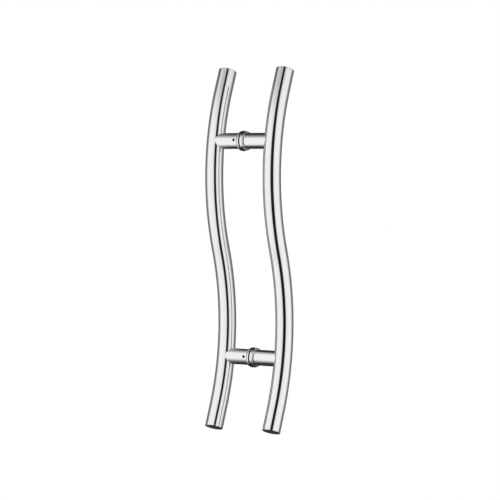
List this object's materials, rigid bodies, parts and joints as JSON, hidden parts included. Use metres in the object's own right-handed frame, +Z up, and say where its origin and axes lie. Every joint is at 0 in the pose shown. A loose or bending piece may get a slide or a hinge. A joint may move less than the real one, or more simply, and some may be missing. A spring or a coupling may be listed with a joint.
{
  "type": "glass door pull handle",
  "caption": "Back-to-back pair of S-bent round tube pulls in satin stainless steel, on straight posts with crowned rosettes and rubber gaskets that clamp a glass door.",
  "frame": {"origin": "middle of the clamp plane between the front and rear gaskets, halfway between the two bolts", "axes": "+Z up along the line through the two bolts, +Y along the bolts from the front pull to the rear pull, +X sideways across the door, towards which the upper end of each S leans"},
  "size_m": [0.097, 0.12, 0.5],
  "materials": {
    "satin_stainless_steel": "bright satin polish",
    "black_rubber": "matt",
    "fastener_steel": "plain",
    "black_oxide_steel": "black oxide"
  },
  "bodies": {
    "root": {"front_bottom_end_cap": "satin_stainless_steel", "front_grip_tube": "satin_stainless_steel", "front_lower_gasket": "black_rubber", "front_lower_post": "satin_stainless_steel", "front_lower_rosette": "satin_stainless_steel", "front_top_end_cap": "satin_stainless_steel", "front_upper_gasket": "black_rubber", "front_upper_post": "satin_stainless_steel", "front_upper_rosette": "satin_stainless_steel", "lower_grub_screw": "black_oxide_steel", "lower_through_bolt": "fastener_steel", "rear_bottom_end_cap": "satin_stainless_steel", "rear_grip_tube": "satin_stainless_steel", "rear_lower_boss": "satin_stainless_steel", "rear_lower_gasket": "black_rubber", "rear_lower_post": "satin_stainless_steel", "rear_top_end_cap": "satin_stainless_steel", "rear_upper_boss": "satin_stainless_steel", "rear_upper_gasket": "black_rubber", "rear_upper_post": "satin_stainless_steel", "upper_grub_screw": "black_oxide_steel", "upper_through_bolt": "fastener_steel"}
  },
  "joints": []
}
